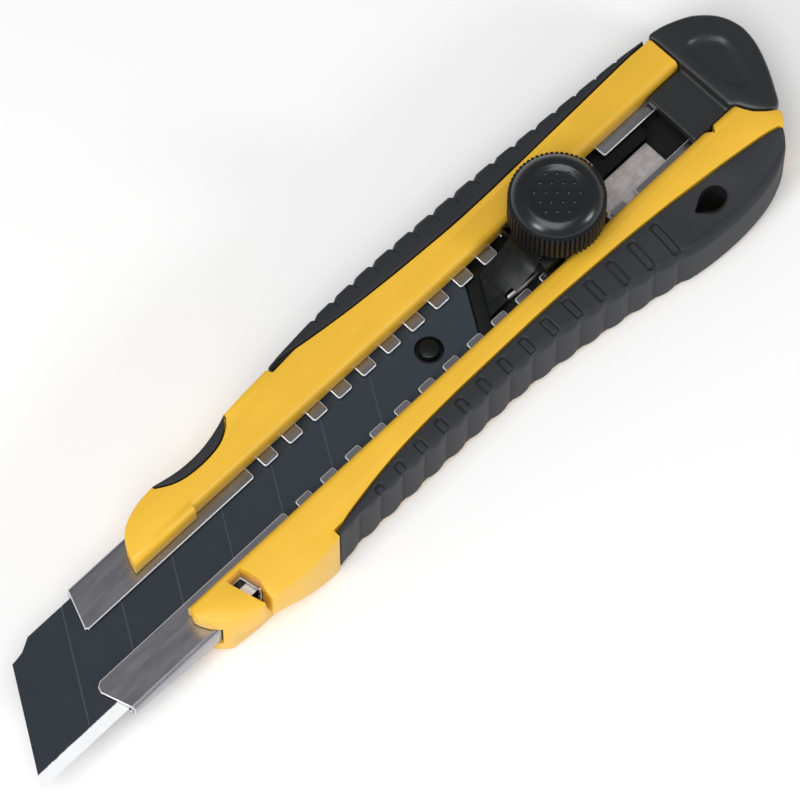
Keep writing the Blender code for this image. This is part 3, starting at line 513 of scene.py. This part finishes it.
def stretched_noise(tree, scale, detail, rotation=(0, 0, 0), roughness=0.5):
    """The socket of a noise drawn out along one axis, as rolling or grinding leaves it."""
    place = add_node(tree, "ShaderNodeTexCoord")
    drawn = add_node(tree, "ShaderNodeMapping", [("Rotation", rotation), ("Scale", scale)],
                     [("Vector", place.outputs["Object"])])
    hairs = add_node(tree, "ShaderNodeTexNoise",
                     [("Scale", 1.0), ("Detail", detail), ("Roughness", roughness)],
                     [("Vector", drawn.outputs["Vector"])])
    return hairs.outputs["Fac"]


def vary_roughness(tree, shader, source, smooth, rough, span=(0.0, 1.0)):
    """Roughness from smooth to rough while the source socket runs over span."""
    spread = add_node(tree, "ShaderNodeMapRange",
                      [("From Min", span[0]), ("From Max", span[1]), ("To Min", smooth), ("To Max", rough)],
                      [("Value", source)])
    tree.links.new(spread.outputs["Result"], shader.inputs["Roughness"])


def tone_from(tree, shader, source, dark, light):
    """Base colour from dark to light by the source socket; returns the two stops."""
    tone = add_node(tree, "ShaderNodeValToRGB", (), [("Fac", source)])
    stops = tone.color_ramp.elements
    stops[0].color = linear(dark)
    stops[1].color = linear(light)
    tree.links.new(tone.outputs["Color"], shader.inputs["Base Color"])
    return stops


# Rolled steel: a grey mirror blurred along fine lines, so that it takes the yellow's colour softly.
steel, tree, shader = new_material("rolled_spring_steel", "#a2a2a8", 0.27, 1.0)
lines = stretched_noise(tree, (220, 1500, 1500), 3.0)
tone_from(tree, shader, lines, "#94949b", "#b4b4ba")
vary_roughness(tree, shader, lines, 0.22, 0.36)
bump_from(tree, shader, lines, 0.003 * MM)

# Burnished edges with a painted highlight: the burnished steel is real, and the thin near-white outline
# round the teeth, the lips and every other sharp edge of the channel is a painted glint.
burnish_and_highlight, tree, shader = new_material("burnished_edge_painted_highlight", "#dedee2", 0.34, 0.25)
vary_roughness(tree, shader, even_noise(tree, 0.8 * MM, 2.0), 0.22, 0.42)

# Painted shade: the inside of the fold is coloured nearly black, so that the shaded floor and the blade's gap
# read as a black line.
channel_floor_shade, tree, shader = new_material("painted_shade_channel_floor", "#1d1d1f", 0.45, 0.3)
vary_roughness(tree, shader, even_noise(tree, 2.5 * MM, 3.0), 0.35, 0.65)

channel.data.materials[0] = steel
channel.data.materials[1] = burnish_and_highlight
channel.data.materials.append(channel_floor_shade)
lip_low = fold_high.z - 2.0 * MM
# Painted shade: faces below the lips that face up or inwards take the dark floor colour.
for face in channel.data.polygons:
    inward = face.center.y * face.normal.y < -1e-9 and abs(face.normal.y) > 0.9
    if face.center.z < lip_low and (face.normal.z > 0.9 or inward):
        face.material_index = 2
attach(channel, "handle")
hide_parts("blade_channel")


# ---------------------------------------------------------------------------------------------
# End cap: black moulded ABS, pushed into the tail of the handle and pulled off by its tongue and
# the thumb's hollow on top. All its edges are generously rounded.

cap = refined_copy("end_cap", "end_cap_moulding", 0)
remesh = cap.modifiers.new("fuse", "REMESH")
remesh.mode = "VOXEL"
remesh.voxel_size = 0.17 * MM
bpy.ops.object.modifier_apply(modifier=remesh.name)
relax = cap.modifiers.new("relax", "SMOOTH")
relax.factor = 0.5
relax.iterations = 6
bpy.ops.object.modifier_apply(modifier=relax.name)
dome = cap.vertex_groups.new(name="dome")
for vert in cap.data.vertices:
    share = smoothstep(89.0 * MM, 91.5 * MM, vert.co.x) * smoothstep(6.5 * MM, 9.5 * MM, vert.co.z)
    dome.add([vert.index], share, "REPLACE")
swollen = cap.modifiers.new("dome", "SMOOTH")
swollen.factor = 0.6
swollen.iterations = 90
swollen.vertex_group = dome.name
bpy.ops.object.modifier_apply(modifier=swollen.name)
for vert in cap.data.vertices:
    fall = smoothstep(91.5 * MM, 101.5 * MM, vert.co.x) * max(0.0, vert.co.z - 1.0 * MM) / (12 * MM)
    vert.co.z -= 1.5 * MM * fall
bpy.ops.object.shade_smooth()
# Satin ABS: a neutral black whose rounded edges carry one soft grey highlight.
black_abs, tree, shader = new_material("satin_black_abs", "#26282a", 0.38, ior=1.53)
moulded_grain(tree, shader, 0.2 * MM, 0.003 * MM, "#26282a", 0.05)
cap.data.materials.append(black_abs)
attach(cap, "cap")
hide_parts("end_cap")


# ---------------------------------------------------------------------------------------------
# Blade: hardened strip with a black oxide coat, scored across every 10 mm so that a dull segment
# snaps off. The cutting edge is ground after coating, so it is bare and bright.

# Black oxide: blue-grey, with a painted sheen: the coat is coloured lighter from the tip towards the rear,
# which lifts the blade inside the channel where the rails shade it. The bare ground edge is real bright
# steel, coloured near-white as a painted reflection of the white table.
coat, tree, shader = new_material("black_oxide_blade", "#262d34", 0.42, 0.1)
place = add_node(tree, "ShaderNodeTexCoord")
axes = add_node(tree, "ShaderNodeSeparateXYZ", (), [("Vector", place.outputs["Object"])])
lines = stretched_noise(tree, (1200, 90, 1200), 2.0)
wobble = add_node(tree, "ShaderNodeMath", [("operation", "MULTIPLY"), (1, 0.25 * MM)], [(0, lines)])
height = add_node(tree, "ShaderNodeMath", [("operation", "SUBTRACT")],
                  [(0, axes.outputs["Y"]), (1, wobble.outputs["Value"])])
# Bare ground edge: real bare steel along the cutting edge, coloured near-white, partly a painted reflection of
# the white table.
bare_edge_and_reflection = add_node(tree, "ShaderNodeMapRange",
                [("From Min", -7.25 * MM), ("From Max", -7.40 * MM), ("To Min", 0.0), ("To Max", 1.0)],
                [("Value", height.outputs["Value"])])
# Painted sheen: the coat's colour runs from darker at the tip to lighter towards the rear.
painted_sheen = add_node(tree, "ShaderNodeMapRange",
                 [("From Min", -0.05), ("From Max", 0.05), ("To Min", 0.0), ("To Max", 1.0)],
                 [("Value", axes.outputs["X"])])
tone = add_node(tree, "ShaderNodeMix", [("data_type", "RGBA")], [("Factor", painted_sheen.outputs["Result"])])
tone.inputs[6].default_value = linear("#252c34")
tone.inputs[7].default_value = linear("#323c45")
# The bare edge's near-white colour is partly a painted reflection.
mixed = add_node(tree, "ShaderNodeMix", [("data_type", "RGBA")], [("Factor", bare_edge_and_reflection.outputs["Result"])])
mixed.inputs[7].default_value = linear("#f6f7f8")
tree.links.new(tone.outputs[2], mixed.inputs[6])
tree.links.new(mixed.outputs[2], shader.inputs["Base Color"])
vary_roughness(tree, shader, lines, 0.30, 0.44)
metal = add_node(tree, "ShaderNodeMapRange", [("To Min", 0.08), ("To Max", 0.35)],
                 [("Value", bare_edge_and_reflection.outputs["Result"])])
tree.links.new(metal.outputs["Result"], shader.inputs["Metallic"])
blade = refined_copy("blade", "snap_blade", 0)
alone(blade)
bpy.ops.object.shade_smooth_by_angle(angle=math.radians(2))
blade_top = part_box("blade")[1].z

# Scored groove: a shade lighter than the coat, so that each score line shows as a thin pale line.
scored, tree, shader = new_material("scored_blade_groove", "#46515a", 0.40, 0.1)
vary_roughness(tree, shader, even_noise(tree, 0.6 * MM, 3.0), 0.30, 0.55)
blade.data.materials.append(coat)
blade.data.materials.append(scored)
for face in blade.data.polygons:
    inside_face = abs(face.center.y) < 7.1 * MM and face.normal.z > 0.05
    face.material_index = 1 if inside_face and face.center.z < blade_top - 0.01 * MM else 0
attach(blade, "carriage")
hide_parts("blade")


# ---------------------------------------------------------------------------------------------
# Slider: polished black ABS carriage. Its pin passes through the blade's hole, its ramp takes the
# thumb, and its platform carries the wheel. Its edges are soft, and it has fine rubbed lines.

slider = refined_copy("slider", "slider_carriage", 0.18 * MM, angle=25)
# Polished ABS: the darkest black of the knife, with small clear highlights broken by hairlines.
gloss_abs, tree, shader = new_material("polished_black_abs", "#0e1010", 0.30, ior=1.36)
hairs = stretched_noise(tree, (150, 1400, 1400), 4.0)
vary_roughness(tree, shader, hairs, 0.26, 0.40, span=(0.35, 0.7))
bump_from(tree, shader, hairs, 0.004 * MM)
slider.data.materials.append(gloss_abs)
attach(slider, "carriage")
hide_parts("slider")


# ---------------------------------------------------------------------------------------------
# Small steel pieces: the springs, the washer, the clamp plate and the screw are zinc-plated, and
# the wheel's insert is turned brass. The plate's tail is scratched where the lips rub on it.

# Zinc plate: pale warm grey, dulled in slanting scratches and patches.
zinc, tree, shader = new_material("scratched_zinc_steel", "#c9c3c4", 0.38, 0.35)
marks = stretched_noise(tree, (350, 3000, 1000), 5.0, rotation=(0, 0, 0.5), roughness=0.7)
blend = add_node(tree, "ShaderNodeMath", [("operation", "MULTIPLY")],
                 [(0, marks), (1, even_noise(tree, 1.6 * MM, 2.0))])
stops = tone_from(tree, shader, blend.outputs["Value"], "#c2bbbd", "#e4dfe1")
stops[0].position, stops[1].position = 0.12, 0.34
vary_roughness(tree, shader, marks, 0.28, 0.5)
bump_from(tree, shader, marks, 0.006 * MM)

# Turned brass: a yellow metal with fine rings round its axis.
brass, tree, shader = new_material("turned_brass", "#c8a355", 0.3, 1.0)
place = add_node(tree, "ShaderNodeTexCoord")
turned = add_node(tree, "ShaderNodeTexWave", [("bands_direction", "Z"), ("Scale", 1 / (0.5 * MM))],
                  [("Vector", place.outputs["Object"])])
bump_from(tree, shader, turned.outputs["Fac"], 0.01 * MM)

for node, name, body_name, material, slot, edge in (
        ("clamp_plate", "clamp_plate_steel", "screw", zinc, "zinc_steel", 0.10 * MM),
        ("lock_screw", "lock_screw_steel", "screw", zinc, "zinc_steel", 0.12 * MM),
        ("washer", "washer_steel", "carriage", zinc, "zinc_steel", 0.12 * MM),
        ("leaf_spring", "leaf_spring_steel", "carriage", zinc, "zinc_steel", 0.05 * MM),
        ("detent_spring", "detent_spring_steel", "carriage", zinc, "zinc_steel", 0.06 * MM),
        ("knob_insert", "knob_insert_brass", "knob", brass, "brass", 0.10 * MM)):
    piece = refined_copy(node, name, edge, segments=2)
    piece.data.materials.append(material)
    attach(piece, body_name)
    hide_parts(node)


# ---------------------------------------------------------------------------------------------
# Lock wheel: black moulded ABS, with fine knurls round its skirt, a polished shoulder and a dished
# top whose raised dots give the fingertip a hold.

low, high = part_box("lock_knob")
wheel_x = (low.x + high.x) / 2
wheel_radius = (high.y - low.y) / 2
knurls, groove = 60, 0.32 * MM
skirt_top = high.z - 1.9 * MM
bpy.ops.object.select_all(action="DESELECT")
bpy.ops.mesh.primitive_cylinder_add(vertices=4 * knurls, radius=wheel_radius, depth=skirt_top - low.z,
                                    location=(wheel_x, 0, (skirt_top + low.z) / 2))
wheel = bpy.context.object
wheel.name = "lock_wheel"
bpy.ops.object.transform_apply(location=True)
for vert in wheel.data.vertices:
    angle = math.atan2(vert.co.y, vert.co.x - wheel_x)
    if round(angle / (2 * math.pi) * 4 * knurls) % 4 == 0:
        scale = (wheel_radius - groove) / wheel_radius
        vert.co.x = wheel_x + (vert.co.x - wheel_x) * scale
        vert.co.y *= scale


def grow_ring(radius, z):
    """Extrudes the selected face and sets its rim to a circle of that radius at that height."""
    bpy.ops.object.mode_set(mode="EDIT")
    bpy.ops.mesh.extrude_region_move()
    bpy.ops.object.mode_set(mode="OBJECT")
    for vert in wheel.data.vertices:
        if vert.select:
            out = Vector((vert.co.x - wheel_x, vert.co.y))
            out = out.normalized() * radius
            vert.co = (wheel_x + out.x, out.y, z)


def select_end(z, sign):
    """Selects the wheel's end face at that height."""
    bpy.ops.object.mode_set(mode="EDIT")
    bpy.ops.mesh.select_mode(type="FACE")
    bpy.ops.mesh.select_all(action="DESELECT")
    bpy.ops.object.mode_set(mode="OBJECT")
    for face in wheel.data.polygons:
        face.select = face.normal.z * sign > 0.9 and abs(face.center.z - z) < 1e-5


select_end(skirt_top, 1)
shoulder = wheel_radius - 0.50 * MM
grow_ring(shoulder, skirt_top + 0.02 * MM)
grow_ring(shoulder - 0.05 * MM, skirt_top + 0.25 * MM)
crown, crown_start, crown_end = 3.12 * MM, math.radians(15), math.radians(62)
crown_inner = shoulder - crown * (math.sin(crown_end) - math.sin(crown_start))
for degrees in range(62, 14, -6):
    bend = math.radians(degrees)
    grow_ring(crown_inner + crown * (math.sin(bend) - math.sin(crown_start)),
              high.z - crown * (math.cos(crown_start) - math.cos(bend)))
dished_top = ((4.55, 0.0), (4.30, 0.05), (4.10, 0.16), (3.85, 0.30), (3.50, 0.41), (3.0, 0.47), (0.5, 0.5))
for radius, depth in dished_top:
    grow_ring(radius * MM, high.z - depth * MM)
disc_z = high.z - 0.47 * MM
select_end(low.z, -1)
skirt_wall, hub_radius = 0.8 * MM, 3.7 * MM
grow_ring(wheel_radius - skirt_wall, low.z)
grow_ring(hub_radius, low.z)
grow_ring(hub_radius, high.z - 2.4 * MM)
alone(wheel)
bpy.ops.object.shade_smooth_by_angle(angle=math.radians(28))

dot_pitch, dot_row = 1.66 * MM, 1.52 * MM
half_turn = math.sqrt(0.5)
along, across = Vector((half_turn, -half_turn, 0)), Vector((half_turn, half_turn, 0))
dots = []
for row, count in zip(range(-2, 3), (3, 4, 5, 4, 3)):
    for k in range(count):
        spot = Vector((wheel_x, 0, disc_z + 0.02 * MM)) + along * dot_pitch * (k - (count - 1) / 2) \
            + across * dot_row * row
        bpy.ops.mesh.primitive_uv_sphere_add(segments=14, ring_count=8, radius=0.33 * MM, location=spot)
        dot = bpy.context.object
        dot.scale.z = 0.7
        bpy.ops.object.transform_apply(location=True, rotation=True, scale=True)
        bpy.ops.object.shade_smooth()
        dots.append(dot)
alone(wheel)
for dot in dots:
    dot.select_set(True)
bpy.ops.object.join()

# Moulded crown: black with two clear highlights on its shoulder.
wheel_abs, tree, shader = new_material("moulded_black_wheel", "#191b1e", 0.26, ior=1.50)
moulded_grain(tree, shader, 0.22 * MM, 0.008 * MM, "#191b1e", 0.05)

# Knurled skirt: the same black moulding as the crown, duller, and coloured darker as painted shade on the
# wheel's side and in its knurls, so that the knurls read as fine upright lines.
knurl_shade_abs, tree, shader = new_material("knurled_wheel_painted_shade", "#101113", 0.50, ior=1.34)
moulded_grain(tree, shader, 0.3 * MM, 0.004 * MM, "#101113", 0.08)
wheel.data.materials.clear()
wheel.data.materials.append(wheel_abs)
wheel.data.materials.append(knurl_shade_abs)
# Painted shade: the upright faces of the skirt take the darker copy of the wheel's black.
for face in wheel.data.polygons:
    face.material_index = 1 if abs(face.normal.z) < 0.2 and face.center.z < skirt_top else 0
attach(wheel, "knob")
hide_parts("lock_knob")
